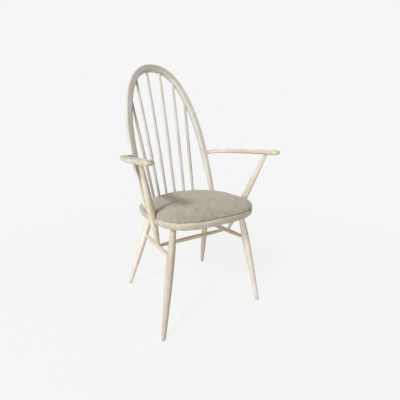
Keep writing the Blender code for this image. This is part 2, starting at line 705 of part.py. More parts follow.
def pad_rings():
    """Rings of the pad: flat base, rounded drawn-in sides, then a crown that closes on the middle."""
    point, normal = outline_at(PAD_PLAN, pad_stations())
    waist = PAD_WAIST * np.cos(2.0 * np.arctan2(point[:, 1], point[:, 0])) ** 2
    bow_foot = bow_point(BOW_FOOT_X, BOW_FOOT_HEIGHT)
    bow_shin = bow_point(BOW_HALF_WIDTH, BOW_SPRING_HEIGHT)
    shin_radius = between(BOW_TENON_RADIUS, BOW_HALF_DEPTH, 0.35)
    rings = []
    for turn in np.linspace(-0.5 * math.pi, 0.5 * math.pi, PAD_SIDE_STEPS + 1):
        plan = point + (PAD_BULGE * math.cos(turn) - waist)[:, None] * normal
        lift = FIT + 0.5 * PAD_SIDE_HEIGHT * (1.0 + math.sin(turn))
        ring = np.column_stack([plan, seat_top(plan[:, 1]) + lift])
        ring = clear_of_bar(ring, POST_FOOT, POST_TOP, POST_BELLY_RADIUS)
        ring = clear_of_bar(ring, bow_foot, bow_shin, shin_radius)
        spindle_row = SPINDLE_ROW_Y - SPINDLE_ROW_BEND * ring[:, 0] ** 2
        ring[:, 1] = np.minimum(ring[:, 1], spindle_row - SPINDLE_BELLY_RADIUS - PAD_CLEARANCE)
        ring[:, 2] = seat_top(ring[:, 1]) + lift
        rings.append(ring)
    shoulder = rings[-1]
    middle = np.array([0.0, 0.5 * (PAD_REAR - SEAT_FRONT)])
    for share in CROWN_SHARES:
        plan = middle + (shoulder[:, :2] - middle) * share
        crown = FIT + PAD_SIDE_HEIGHT + PAD_CROWN * (1.0 - share ** PAD_CROWN_POWER)
        rings.append(np.column_stack([plan, seat_top(plan[:, 1]) + crown]))
    return np.array(rings)


def shrink(piece, depth):
    """Move a piece's surface inwards along its own normals."""
    shape = bmesh.new()
    shape.from_mesh(piece.data)
    shape.normal_update()
    moves = [(vert, vert.co - vert.normal * depth) for vert in shape.verts]
    for vert, place in moves:
        vert.co = place
    shape.to_mesh(piece.data)
    shape.free()


PAD_RINGS = pad_rings()
PAD_PLACE = (0.0, 0.0, SEAT_HEIGHT)
ZIP_RING = PAD_SIDE_STEPS // 2
ZIP_LOW, ZIP_HIGH = PAD_RINGS[ZIP_RING], PAD_RINGS[ZIP_RING + 1]
in_zip = np.abs(ZIP_LOW[:, 0]) < 0.5 * ZIP_LENGTH
in_zip &= ZIP_LOW[:, 1] > 0.0

seat_pad_cover = loft("seat_pad_cover", PAD_RINGS, LINEN, PAD_PLACE, PAD_SMOOTH, triangles=True)
shape = bmesh.new()
shape.from_mesh(seat_pad_cover.data)
shape.verts.ensure_lookup_table()
points = len(ZIP_LOW)
zip_verts = range(ZIP_RING * points, (ZIP_RING + 2) * points)
opening = [face for face in shape.faces
           if all(vert.index in zip_verts and in_zip[vert.index % points] for vert in face.verts)]
bmesh.ops.delete(shape, geom=opening, context="FACES")
shape.to_mesh(seat_pad_cover.data)
shape.free()
shell = seat_pad_cover.modifiers.new("cloth", "SOLIDIFY")
shell.thickness = COVER_THICKNESS
shell.offset = -1.0
shell.use_rim = True

seat_pad_foam = loft("seat_pad_foam", PAD_RINGS, FOAM, PAD_PLACE, PAD_SMOOTH, triangles=True)
shrink(seat_pad_foam, COVER_THICKNESS + FOAM_CLEARANCE)


def zip_rings():
    """Cross sections of the zip tape from one end of the cover's opening to the other."""
    order = np.argsort(ZIP_LOW[in_zip][:, 0])
    low, high = ZIP_LOW[in_zip][order], ZIP_HIGH[in_zip][order]
    upward = (high - low) / np.linalg.norm(high - low, axis=1)[:, None]
    along = np.gradient(0.5 * (low + high), axis=0)
    along /= np.linalg.norm(along, axis=1)[:, None]
    inward = np.cross(upward, along)
    inward *= np.sign(-inward[:, 1:2])
    low, high = low + ZIP_SEAM * upward, high - ZIP_SEAM * upward
    for row in (low, high):
        row[0] += along[0] * ZIP_SEAM
        row[-1] -= along[-1] * ZIP_SEAM
    depth = COVER_THICKNESS * inward
    return np.stack([low, high, high + depth, low + depth], axis=1)


seat_pad_zip = loft("seat_pad_zip", zip_rings(), ZIP, PAD_PLACE)

# Origin on the floor under the middle of the chair's box


def reach_along_y(piece):
    """Lowest and highest Y of a piece that has no turn of its own."""
    places = [piece.location.y + vert.co.y for vert in piece.data.vertices]
    return min(places), max(places)


outer_pieces = [seat_board, back_bow, arms["left"], legs["front_left"], legs["rear_left"]]
reaches = [reach_along_y(piece) for piece in outer_pieces]
chair.location.y = -0.5 * (min(low for low, high in reaches) + max(high for low, high in reaches))
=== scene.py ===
"""Bow-back dining armchair with a fitted seat pad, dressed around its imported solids.

Every wooden piece is a section carried along its own line. Line, section and radius are formulas,
worked out as whole arrays. Each point also keeps its place in the timber it was cut from, as
(along the grain, across, across), so the grain runs through a turning and follows a bend.

Metres, +Z up, the sitter faces -Y. Plan places are given as in the part's own source, from the middle
of the board's widest line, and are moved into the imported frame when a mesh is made.
"""
import math

import bmesh
import bpy
import numpy as np
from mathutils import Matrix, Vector


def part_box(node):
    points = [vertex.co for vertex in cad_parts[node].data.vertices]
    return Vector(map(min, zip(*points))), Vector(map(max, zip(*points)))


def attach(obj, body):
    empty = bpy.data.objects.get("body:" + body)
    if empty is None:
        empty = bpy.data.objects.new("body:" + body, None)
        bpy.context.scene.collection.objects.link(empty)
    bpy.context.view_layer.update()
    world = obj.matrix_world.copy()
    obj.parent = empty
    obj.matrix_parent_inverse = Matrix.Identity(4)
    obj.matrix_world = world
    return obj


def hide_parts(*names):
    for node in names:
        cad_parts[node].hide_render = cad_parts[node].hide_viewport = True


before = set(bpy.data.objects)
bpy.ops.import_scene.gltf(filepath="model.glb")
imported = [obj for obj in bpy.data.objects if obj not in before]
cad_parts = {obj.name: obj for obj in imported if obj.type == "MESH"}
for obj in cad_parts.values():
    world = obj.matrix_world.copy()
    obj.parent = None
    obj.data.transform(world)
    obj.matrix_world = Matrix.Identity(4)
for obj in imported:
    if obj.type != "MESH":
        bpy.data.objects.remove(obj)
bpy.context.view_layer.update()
scene = bpy.context.scene

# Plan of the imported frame: the cross stretcher shows how far the chair was moved along Y
CROSS_STRETCHER_Y = 0.004
cross_low, cross_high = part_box("cross_stretcher")
SHIFT_Y = 0.5 * (cross_low.y + cross_high.y) - CROSS_STRETCHER_Y

# Seat board
SEAT_HEIGHT = 0.4213
SEAT_PITCH = math.radians(2.9)
SEAT_THICKNESS = 0.029
SEAT_HALF_WIDTH = 0.195
SEAT_FRONT = 0.198
SEAT_REAR = 0.235
SEAT_FRONT_POWER = 3.2
SEAT_REAR_POWER = 2.6
SEAT_TOP_ROUND = 0.005
SEAT_UNDERCUT = 0.017
SEAT_UNDERCUT_RISE = 0.018
SEAT_SINK = 0.0001

# Legs and stretchers
FRONT_LEG = ((0.223, -0.156), (0.1405, -0.1055))
REAR_LEG = ((0.204, 0.262), (0.1274, 0.103))
LEG_RADII = (0.0077, 0.0143, 0.0097)
LEG_BELLY_HEIGHT = 0.275
FOOT_ROUND = 0.0022
FOOT_WEAR = 0.75
FOOT_WEAR_HEIGHT = 0.010
TENON_SINK = 0.00005
FRONT_STRETCHER_HEIGHT = 0.292
REAR_STRETCHER_HEIGHT = 0.280
SIDE_STRETCHER_RADIUS = 0.0092
CROSS_STRETCHER_RADIUS = 0.0085
STRETCHER_END_RADIUS = 0.0062
TENON_REACH = 1.4

# Back bow
BOW_FOOT_X = 0.159
BOW_FOOT_Y = 0.1013
BOW_LEAN = math.radians(24.5)
BOW_HALF_WIDTH = 0.1628
BOW_SPRING_HEIGHT = 0.580
BOW_TOP_HEIGHT = 0.9513
BOW_ARCH_POWER = 2.3
BOW_HALF_FACE = 0.0128
BOW_HALF_DEPTH = 0.0132
BOW_EDGE_POWER = 4.8
BOW_TENON_RADIUS = 0.0095
BOW_TAPER_LENGTH = 0.300

# Back spindles
SPINDLE_SEAT_X = (0.0206, 0.0610, 0.0950)
SPINDLE_BOW_X = (0.0297, 0.0845, 0.1250)
SPINDLE_ROW_Y = 0.2058
SPINDLE_ROW_BEND = 4.19
SPINDLE_SOCKET_DEPTH = 0.020
SPINDLE_RADII = (0.0052, 0.0068, 0.0048)
SPINDLE_BELLY_SHARE = 0.45
SPINDLE_ROWS = ((-1.0, 2), (-1.0, 1), (-1.0, 0), (1.0, 0), (1.0, 1), (1.0, 2))

# Arms and their posts
ARM_REAR_HEIGHT = 0.6005
ARM_FRONT_HEIGHT = 0.6282
ARM_BEND_X = 0.240
ARM_REACH = (0.262, -0.010)
ARM_TIP = (0.243, -0.183)
ARM_HALF_WIDTHS = (0.0105, 0.0165)
ARM_HALF_THICKNESSES = (0.0083, 0.0091)
ARM_EDGE_POWER = 2.7
ARM_FULL_SHARE = 0.7
ARM_TIP_ROUND = 0.020
ARM_TIP_POWER = 2.3
ARM_TIP_CLOSING = 0.995
ARM_TIP_WEAR = 0.12
# Painted shade at the root of each arm, where it meets the bow: its darkness and its length
ARM_JOINT_PAINTED_SHADE = 0.9
ARM_JOINT_SHADE_LENGTH = 0.014
POST_FOOT_Y = -0.011
POST_ARM_Y = -0.117
POST_RADII = (0.0056, 0.0130, 0.0066)
POST_TENON_DEPTH = 0.0105

# Seat pad
PAD_REVEAL = 0.0045
PAD_REAR_POWER = 1.85
PAD_BULGE = 0.0060
PAD_BAR_GAP = 0.0040
PAD_BOW_FULLNESS = 0.60
PAD_SPINDLE_GAP = 0.0015
PAD_BELLY_LIFT = 0.0080
PAD_TOP_LIFT = 0.0365
PAD_DOME_POWERS = (4.0, 2.4)
PAD_DOME_END = 0.02
PAD_WAIST = 0.0020
PAD_GAP = 0.0004
PAD_VOXEL = 0.004
PAD_FRAMES = 20
PAD_PRESSURE = 4.0
PAD_SWELL = 0.0025
PAD_HELD_HEIGHT = 0.0030

# Tone of the timber, where a piece differs from the rest, and painted light and shade on the bow and
# spindle 1
PLAIN = (1.0, 1.0, 1.0)
PALE = (1.16, 1.17, 1.19)
WARM = (1.05, 1.02, 0.95)
SALLOW = (0.89, 0.88, 0.82)
DUSKY = (0.84, 0.81, 0.77)
CHALKY = (0.93, 0.92, 0.90)
COOL = (0.91, 0.95, 1.00)
CLEAR = (0.98, 1.04, 1.11)
MELLOW = (0.85, 0.87, 0.87)
BROWN = (1.03, 0.95, 0.80)
OCHRE = (0.89, 0.83, 0.68)
# Painted light and shade on the bow: paler sides, darker flats, and the flats darker over the left half
# than the right
BOW_SIDE_PAINTED_LIGHT = (1.06, 1.11, 1.17)
BOW_FLAT_PAINTED_SHADES = ((0.72, 0.73, 0.76), (1.03, 1.06, 1.13))
BOW_FLAT_SHADE_SHARES = (0.50, 0.62)
BOW_FLAT_START = 0.4
BOW_FLAT_GAIN = 3.0

# The first of these words that is found in a piece's name gives its tone
TONES = {"leg_front_left": DUSKY, "leg_rear_right": WARM, "leg": PALE,
         "cross": BROWN, "stretcher_right": OCHRE,
         "post": WARM, "arm_right": WARM, "arm_left": SALLOW,
         # Spindle 1 gets the pale tone to lift the shadow that the bow's left limb casts on it: painted
         # light
         "spindle_1": PALE, "spindle_4": CLEAR, "spindle_5": CLEAR, "spindle_6": MELLOW,
         "spindle": COOL, "board": CHALKY}

# Planks that the pieces are cut from: the number of each kind's first, and where in it a piece starts
LEG_PLANK = 1
SIDE_STRETCHER_PLANK = 5
CROSS_STRETCHER_PLANK = 7
BOW_PLANK = 8
SPINDLE_PLANK = 9
ARM_PLANK = 15
POST_PLANK = 17
BOARD_PLANK = 31
BOARD_PLANK_LIFT = 0.03
PLANK_START = np.array([0.0, 0.031, 0.018])
PLANK_STEP = np.array([1.7, 0.0043, 0.0057])
PLANK_CYCLE = (5, 7)

# Bleached wood. Each noise has its stretch along and across the grain. Each layer has the range in which
# its noise comes in, the share it then has, and its colour
WANDER_STRETCH = (5.0, 14.0, 14.0)
WANDER_REACH = (0.0, 0.010, 0.010)
RING_SHARE = 0.42
FIBRE_STRETCH = (22.0, 900.0, 900.0)
FIBRE_RANGE = (0.30, 0.72)
FIBRE_SHARE = 0.62
FLECK_STRETCH = (260.0, 2100.0, 2100.0)
FLECK_RANGE = (0.60, 0.72)
FLECK_SHARE = 0.14
FLECK_COLOUR = (0.42, 0.33, 0.22, 1.0)
STREAK_STRETCH = (6.0, 130.0, 130.0)
STREAK_RANGE = (0.42, 0.66)
STREAK_SHARE = 0.52
STREAK_COLOUR = (0.58, 0.475, 0.375, 1.0)
LIMED_STRETCH = (9.0, 90.0, 90.0)
LIMED_RANGE = (0.48, 0.64)
LIMED_SHARE = 0.60
LIMED_COLOUR = (0.84, 0.82, 0.76, 1.0)
PATCH_SCALE = 11.0
PATCH_RANGE = (0.42, 0.68)
PATCH_SHARE = 0.34
PATCH_COLOUR = (0.58, 0.565, 0.46, 1.0)
WEAR_AND_SHADE_COLOUR = (0.40, 0.37, 0.31, 1.0)
GLOSS_RANGE = (0.25, 0.75)
GLOSS_CHANGE = (-0.07, 0.09)

# Woven cover, with its layers in the same way
THREAD_SCALE = 220.0
THREAD_GAP_LIMIT = 0.35
THREAD_GAP_SHARE = 0.35
THREAD_GAP_COLOUR = (0.29, 0.255, 0.20, 1.0)
WARP_SLUBS = (620.0, 45.0, 1.0)
WEFT_SLUBS = (45.0, 620.0, 1.0)
SLUB_RANGE = (0.75, 1.25)
SLUB_COLOURS = ((0.38, 0.336, 0.264, 1.0), (0.59, 0.542, 0.446, 1.0))
KNOT_RANGE = (0.7, 1.3)
KNOT_HEIGHT = 0.5
MOTTLE_STRETCH = (120.0, 70.0, 1.0)
MOTTLE_RANGE = (0.50, 0.70)
MOTTLE_SHARE = 0.80
MOTTLE_COLOUR = (0.30, 0.263, 0.205, 1.0)
RUBBED_SCALE = 24.0
RUBBED_RANGE = (0.40, 0.66)
RUBBED_SHARE = 0.22
RUBBED_COLOUR = (0.62, 0.575, 0.48, 1.0)

# Small fittings
END_GRAIN_STRETCH = (300.0, 1800.0, 300.0)
END_GRAIN_RANGE = (0.35, 0.65)
END_GRAIN_COLOURS = ((0.60, 0.54, 0.43, 1.0), (0.73, 0.68, 0.57, 1.0))
SPANGLE_SCALE = 400.0
ZINC_COLOURS = ((0.52, 0.52, 0.53, 1.0), (0.68, 0.68, 0.69, 1.0))
TEETH_SCALE = 160.0
ZIP_COLOURS = ((0.20, 0.18, 0.14, 1.0), (0.36, 0.33, 0.27, 1.0))

# How a shader node works: radians of a wave texture per unit, and the colour sockets of a mix node
WAVE_RADIANS = 20.0
MIX_FIRST = 6
MIX_SECOND = 7
MIX_RESULT = 2

# Points round a section and along a piece
ROUND = 48
SECTION = 56
TURNING_STEPS = 120
BOW_STEPS = 320
ARM_STEPS = 150
ARM_TIP_STEPS = 24
PLAN_POINTS = 360
UNDERCUT_STEPS = 13
TOP_ROUND_STEPS = 10
FOOT_STEPS = 7
PAD_SIDE_STEPS = 9
PAD_DOME_STEPS = 36
FINE = 4000
FINER = 8

# Limits in the working: a length taken as none, and the rise of an axis taken as steep
TINY = 1e-6
STEEP = 0.9

# Edges sharper than this, in degrees, are shaded as edges
SHARP_ANGLE = 32.0
BOARD_SHARP_ANGLE = 40.0

SIDES = (("left", -1.0), ("right", 1.0))


# Nodes of a material


def add(tree, kind, inputs=None, **settings):
    """Add a shader node, set its properties, and link or set its inputs."""
    made = tree.nodes.new(kind)
    for name, value in settings.items():
        setattr(made, name, value)
    for name, value in (inputs or {}).items():
        socket = made.inputs[name]
        if isinstance(value, bpy.types.NodeSocket):
            tree.links.new(value, socket)
        else:
            socket.default_value = value
    return made


def start_material(name, roughness, specular=0.35):
    """A new material and its Principled shader, with what is the same all over set on its sockets."""
    material = bpy.data.materials.new(name)
    material.use_nodes = True
    shader = material.node_tree.nodes["Principled BSDF"]
    shader.inputs["Roughness"].default_value = roughness
    shader.inputs["Specular IOR Level"].default_value = specular
    return material, material.node_tree, shader


def mix_colours(tree, factor, first, second, blend="MIX"):
    """Colour between two colours, or a blend of the second over the first."""
    inputs = {"Factor": factor, MIX_FIRST: first, MIX_SECOND: second}
    made = add(tree, "ShaderNodeMix", inputs, data_type="RGBA", blend_type=blend)
    return made.outputs[MIX_RESULT]


def emboss(tree, shader, height, strength, distance):
    """Bump a shader by a height."""
    bump = add(tree, "ShaderNodeBump", {"Strength": strength, "Distance": distance, "Height": height})
    tree.links.new(bump.outputs["Normal"], shader.inputs["Normal"])


def stretched(tree, place, scale):
    """Texture place stretched by its own scale along each axis."""
    return add(tree, "ShaderNodeMapping", {"Vector": place, "Scale": scale}).outputs["Vector"]


def noise(tree, place, scale=1.0, detail=2.0, roughness=0.5):
    """Soft noise over a place, about 0.5 on average."""
    return add(tree, "ShaderNodeTexNoise", {"Vector": place, "Scale": scale, "Detail": detail,
                                            "Roughness": roughness}).outputs["Fac"]


def spread(tree, value, low, high, out_low=0.0, out_high=1.0):
    """Value moved from one range to another, and held inside it."""
    return add(tree, "ShaderNodeMapRange", {"Value": value, "From Min": low, "From Max": high,
                                            "To Min": out_low, "To Max": out_high}).outputs["Result"]


def layered(tree, colour, layers):
    """Colour with layers mixed over it in turn: each has a noise, its range, its share and its colour."""
    for value, limits, share, tint in layers:
        colour = mix_colours(tree, spread(tree, value, *limits, 0.0, share), colour, tint)
    return colour


def wood(name, pale, dark, ring, roughness):
    """Bleached timber: growth rings about a far pith, fibres, flecks, streaks, patches, tone, wear,
    painted shade.

    The rings are a wave of the distance from the pith, which wanders along the grain. Fibres and warm
    streaks are noise drawn out along the grain, flecks are short dashes of it. Limed streaks are near
    white, and patches where the bleach took badly are olive. The tone tells the pieces apart; on the bow
    it is painted light and shade, and on spindle 1 painted light. The wear darkens the feet and the arm
    tips, and paints shade where the arms meet the bow.
    """
    material, tree, shader = start_material(name, roughness)
    grain = add(tree, "ShaderNodeAttribute", attribute_name="grain").outputs["Vector"]
    wear_and_shade = add(tree, "ShaderNodeAttribute", attribute_name="wear_and_shade").outputs["Fac"]
    place = stretched(tree, grain, WANDER_STRETCH)
    wander = add(tree, "ShaderNodeTexNoise", {"Vector": place, "Scale": 1.0,
                                              "Detail": 2.0}).outputs["Color"]
    moved = add(tree, "ShaderNodeVectorMath", {0: wander, 1: WANDER_REACH}, operation="MULTIPLY")
    heart = add(tree, "ShaderNodeVectorMath", {0: grain, 1: moved.outputs["Vector"]}, operation="ADD")
    ring_scale = 2.0 * math.pi / (WAVE_RADIANS * ring)
    rings = add(tree, "ShaderNodeTexWave", {"Vector": heart.outputs["Vector"], "Scale": ring_scale,
                                            "Distortion": 0.6, "Detail": 2.0, "Detail Scale": 0.4},
                wave_type="RINGS", rings_direction="X", wave_profile="SAW").outputs["Fac"]
    fibre = noise(tree, stretched(tree, grain, FIBRE_STRETCH), detail=3.0, roughness=0.6)
    fleck = noise(tree, stretched(tree, grain, FLECK_STRETCH), detail=1.0)
    streak = noise(tree, stretched(tree, grain, STREAK_STRETCH))
    limed = noise(tree, stretched(tree, grain, LIMED_STRETCH), detail=3.0, roughness=0.6)
    patch = noise(tree, add(tree, "ShaderNodeTexCoord").outputs["Object"], PATCH_SCALE, detail=3.0)
    figure = add(tree, "ShaderNodeMath", {0: spread(tree, rings, 0.0, 1.0, 0.0, RING_SHARE),
                                          1: spread(tree, fibre, *FIBRE_RANGE, 0.0, FIBRE_SHARE)},
                 operation="ADD").outputs["Value"]
    colour = layered(tree, mix_colours(tree, figure, pale, dark),
                     ((fleck, FLECK_RANGE, FLECK_SHARE, FLECK_COLOUR),
                      (streak, STREAK_RANGE, STREAK_SHARE, STREAK_COLOUR),
                      (limed, LIMED_RANGE, LIMED_SHARE, LIMED_COLOUR),
                      (patch, PATCH_RANGE, PATCH_SHARE, PATCH_COLOUR)))
    tone_and_painted_light = add(tree, "ShaderNodeAttribute", attribute_name="tone_and_painted_light").outputs["Color"]
    colour = mix_colours(tree, 1.0, colour, tone_and_painted_light, "MULTIPLY")
    # Worn feet and arm tips, and painted shade at the arms' roots by the bow
    colour = mix_colours(tree, wear_and_shade, colour, WEAR_AND_SHADE_COLOUR)
    tree.links.new(colour, shader.inputs["Base Color"])
    limits = [roughness + change for change in GLOSS_CHANGE]
    tree.links.new(spread(tree, fibre, *GLOSS_RANGE, *limits), shader.inputs["Roughness"])
    emboss(tree, shader, fibre, strength=0.14, distance=0.0004)
    return material


def linen():
    """Taupe plain weave: two crossed rows of threads with slubs, in a mottled cloth.

    The threads are waves across the cloth's own two directions. Slubs are noise drawn out along each.
    """
    material, tree, shader = start_material("taupe_linen", roughness=0.92, specular=0.15)
    cloth = add(tree, "ShaderNodeAttribute", attribute_name="weave").outputs["Vector"]
    row = {"Vector": cloth, "Scale": THREAD_SCALE, "Distortion": 1.2, "Detail": 1.0,
           "Detail Scale": 1.5}
    warp = add(tree, "ShaderNodeTexWave", row, wave_type="BANDS", bands_direction="X").outputs["Fac"]
    weft = add(tree, "ShaderNodeTexWave", row, wave_type="BANDS", bands_direction="Y").outputs["Fac"]
    threads = add(tree, "ShaderNodeMath", {0: warp, 1: weft}, operation="MULTIPLY").outputs["Value"]
    gaps = spread(tree, threads, 0.0, THREAD_GAP_LIMIT, THREAD_GAP_SHARE, 0.0)
    slub_warp = noise(tree, stretched(tree, cloth, WARP_SLUBS), roughness=0.6)
    slub_weft = noise(tree, stretched(tree, cloth, WEFT_SLUBS), roughness=0.6)
    slubs = add(tree, "ShaderNodeMath", {0: slub_warp, 1: slub_weft}, operation="ADD").outputs["Value"]
    place = stretched(tree, cloth, MOTTLE_STRETCH)
    mottle = add(tree, "ShaderNodeTexNoise", {"Vector": place, "Scale": 1.0, "Detail": 3.0,
                                              "Distortion": 1.6}).outputs["Fac"]
    rubbed = noise(tree, cloth, RUBBED_SCALE)
    colour = mix_colours(tree, spread(tree, slubs, *SLUB_RANGE), *SLUB_COLOURS)
    colour = layered(tree, colour, ((mottle, MOTTLE_RANGE, MOTTLE_SHARE, MOTTLE_COLOUR),
                                    (rubbed, RUBBED_RANGE, RUBBED_SHARE, RUBBED_COLOUR)))
    colour = mix_colours(tree, gaps, colour, THREAD_GAP_COLOUR)
    tree.links.new(colour, shader.inputs["Base Color"])
    knots = spread(tree, slubs, *KNOT_RANGE, 0.0, KNOT_HEIGHT)
    height = add(tree, "ShaderNodeMath", {0: threads, 1: knots}, operation="ADD").outputs["Value"]
    emboss(tree, shader, height, strength=0.35, distance=0.0006)
    shader.inputs["Diffuse Roughness"].default_value = 1.0
    shader.inputs["Sheen Weight"].default_value = 0.12
    shader.inputs["Sheen Roughness"].default_value = 0.5
    return material


def end_grain():
    """Hard wedge wood seen from its end: close lines of soft noise on Object coordinates."""
    material, tree, shader = start_material("wedge_end_grain", roughness=0.6)
    place = add(tree, "ShaderNodeTexCoord").outputs["Object"]
    lines = noise(tree, stretched(tree, place, END_GRAIN_STRETCH), detail=3.0)
    colour = mix_colours(tree, spread(tree, lines, *END_GRAIN_RANGE), *END_GRAIN_COLOURS)
    tree.links.new(colour, shader.inputs["Base Color"])
    return material


def zinc():
    """Bright zinc plate with a faint cloudy spangle."""
    material, tree, shader = start_material("bright_zinc", roughness=0.35, specular=0.5)
    place = add(tree, "ShaderNodeTexCoord").outputs["Object"]
    colour = mix_colours(tree, noise(tree, place, SPANGLE_SCALE), *ZINC_COLOURS)
    tree.links.new(colour, shader.inputs["Base Color"])
    shader.inputs["Metallic"].default_value = 1.0
    return material


def zip_tape():
    """Woven tape with a row of teeth: fine waves along X on Object coordinates."""
    material, tree, shader = start_material("zip_tape", roughness=0.8, specular=0.2)
    place = add(tree, "ShaderNodeTexCoord").outputs["Object"]
    teeth = add(tree, "ShaderNodeTexWave", {"Vector": place, "Scale": TEETH_SCALE},
                wave_type="BANDS", bands_direction="X").outputs["Fac"]
    colour = mix_colours(tree, teeth, *ZIP_COLOURS)
    tree.links.new(colour, shader.inputs["Base Color"])
    emboss(tree, shader, teeth, strength=0.5, distance=0.0008)
    return material


BEECH = wood("bleached_beech", pale=(0.765, 0.72, 0.60, 1.0), dark=(0.61, 0.54, 0.42, 1.0),
             ring=0.0042, roughness=0.50)
ELM = wood("bleached_elm", pale=(0.65, 0.605, 0.51, 1.0), dark=(0.475, 0.42, 0.33, 1.0),
           ring=0.0075, roughness=0.50)
LINEN = linen()
END_GRAIN = end_grain()
ZINC = zinc()
ZIP = zip_tape()


# Meshes from rings


def mesh_of_rings(name, rings):
    """A closed mesh: rings, each closed on itself, and a fan over both ends.

    Point k of ring j joins point k + 1 of the ring and point k of ring j + 1. A fan's middle is the
    mean of its ring.
    """
    count, points = rings.shape[:2]
    verts = np.concatenate([rings.reshape(-1, 3), [rings[0].mean(axis=0), rings[-1].mean(axis=0)]])
    around = np.arange(points)
    following = np.roll(around, -1)
    start = points * np.arange(count - 1)[:, None]
    low, next_low = start + around, start + following
    quads = np.stack([low, next_low, next_low + points, low + points], axis=2)
    first, last = count * points, count * points + 1
    rim = (count - 1) * points
    fan_low = np.stack([np.full(points, first), following, around], axis=1)
    fan_high = np.stack([np.full(points, last), rim + around, rim + following], axis=1)
    faces = quads.reshape(-1, 4).tolist() + fan_low.tolist() + fan_high.tolist()
    mesh = bpy.data.meshes.new(name)
    mesh.from_pydata(verts.tolist(), [], faces)
    shape = bmesh.new()
    shape.from_mesh(mesh)
    bmesh.ops.recalc_face_normals(shape, faces=shape.faces)
    shape.to_mesh(mesh)
    shape.free()
    return mesh


def piece_of(node, rings, grain, wear_and_shade, material, sharp=SHARP_ANGLE, tone_and_painted_light=None):
    """A closed body of rings in place of a solid, with places in the timber, wear with painted shade, and
    tone with painted light.
    """
    name = node + "_fine"
    ends = (0, len(rings) - 1)
    mesh = mesh_of_rings(name, rings + (0.0, SHIFT_Y, 0.0))
    places = np.concatenate([grain.reshape(-1, 3), [grain[k].mean(axis=0) for k in ends]])
    worn_and_shaded = np.concatenate([np.repeat(wear_and_shade, rings.shape[1]), [wear_and_shade[k] for k in ends]])
    mesh.attributes.new("grain", "FLOAT_VECTOR", "POINT").data.foreach_set("vector", places.ravel())
    mesh.attributes.new("wear_and_shade", "FLOAT", "POINT").data.foreach_set("value", worn_and_shaded)
    if tone_and_painted_light is None:
        tone_and_painted_light = np.broadcast_to(next((TONES[key] for key in TONES if key in node), PLAIN), rings.shape)
    tones_and_painted_light = np.concatenate([tone_and_painted_light.reshape(-1, 3), [tone_and_painted_light[k].mean(axis=0) for k in ends]])
    mesh.attributes.new("tone_and_painted_light", "FLOAT_VECTOR", "POINT").data.foreach_set("vector", tones_and_painted_light.ravel())
    mesh.shade_smooth()
    mesh.set_sharp_from_angle(angle=math.radians(sharp))
    mesh.materials.append(material)
    piece = bpy.data.objects.new(name, mesh)
    scene.collection.objects.link(piece)
    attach(piece, "root")
    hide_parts(node)
    return piece


def circle(points):
    """Unit circle as an array of (cosine, sine)."""
    angle = 2.0 * math.pi * np.arange(points) / points
    return np.stack([np.cos(angle), np.sin(angle)], axis=1)


def superellipse(points, power):
    """Unit superellipse at even lengths along its outline: power 2 is a circle, more is squarer."""
    unit = circle(FINER * points)
    shape = np.sign(unit) * np.abs(unit) ** (2.0 / power)
    closed = np.concatenate([shape, shape[:1]])
    along = np.concatenate([[0.0], np.cumsum(np.linalg.norm(np.diff(closed, axis=0), axis=1))])
    want = along[-1] * np.arange(points) / points
    return np.stack([np.interp(want, along, closed[:, k]) for k in (0, 1)], axis=1)


def between(low, high, share):
    """Point at a share of the way from low to high."""
    return np.asarray(low, dtype=float) + (np.asarray(high) - np.asarray(low)) * share


def mirrored(point, sign):
    """The point on the chair's right side, or its mirror image on the left."""
    return np.asarray(point, dtype=float) * np.array([sign, 1.0, 1.0])


def resample(path, stations):
    """Points at the given lengths along a finely stepped path."""
    along = np.concatenate([[0.0], np.cumsum(np.linalg.norm(np.diff(path, axis=0), axis=1))])
    return np.stack([np.interp(stations, along, path[:, k]) for k in range(path.shape[1])], axis=1)


def path_length(path):
    """Length of a finely stepped path."""
    return float(np.linalg.norm(np.diff(path, axis=0), axis=1).sum())


def unit_rows(rows):
    """Each row divided by its own length."""
    return rows / np.linalg.norm(rows, axis=1)[:, None]


def timber(number, along, across, over):
    """Places in the timber: each piece is cut from a plank of its own, well off the pith."""
    start = PLANK_START + PLANK_STEP * (number, number % PLANK_CYCLE[0], number % PLANK_CYCLE[1])
    return np.stack(np.broadcast_arrays(along, across, over), axis=-1) + start


def swell(distance, length, radii, belly_at, plain_start=0.0, plain_end=0.0):
    """Radius of a turning: plain ends, and quarter sine swells from each up to the belly."""
    rise = np.clip((distance - plain_start) / (belly_at - plain_start), 0.0, 1.0)
    fall = np.clip((length - plain_end - distance) / (length - plain_end - belly_at), 0.0, 1.0)
    first = radii[0] + (radii[1] - radii[0]) * np.sin(0.5 * math.pi * rise)
    second = radii[2] + (radii[1] - radii[2]) * np.sin(0.5 * math.pi * fall)
    return np.where(distance < belly_at, first, second)


def turned(name, number, start, end, radii, belly_at, plain_start, plain_end):
    """A turning about the line from start to end: circles of the swell's radius, square to the line."""
    start, end = np.asarray(start, dtype=float), np.asarray(end, dtype=float)
    length = float(np.linalg.norm(end - start))
    axis = (end - start) / length
    steep = abs(axis[2]) >= STEEP
    side = np.cross(axis, (0.0, 1.0, 0.0) if steep else (0.0, 0.0, 1.0))
    side /= np.linalg.norm(side)
    over = np.cross(axis, side)
    along = np.linspace(0.0, length, TURNING_STEPS)
    radius = swell(along, length, radii, belly_at * length, plain_start, plain_end)
    ring = radius[:, None, None] * circle(ROUND)
    rings = start + along[:, None, None] * axis + ring[:, :, :1] * side + ring[:, :, 1:] * over
    grain = timber(number, along[:, None], ring[:, :, 0], ring[:, :, 1])
    piece_of(name, rings, grain, np.zeros(TURNING_STEPS), BEECH)


# Seat board


def seat_top(y):
    """Height of the board's top at a place along Y."""
    return SEAT_HEIGHT - math.tan(SEAT_PITCH) * y


def slide_to_seat(points, axis, lift):
    """Slide points along an axis until they lie a given lift above the plane of the board's top."""
    slope = math.tan(SEAT_PITCH)
    short = SEAT_HEIGHT + lift - points[:, 2:] - slope * points[:, 1:2]
    return points + np.asarray(axis) * short / (axis[2] + slope * axis[1])


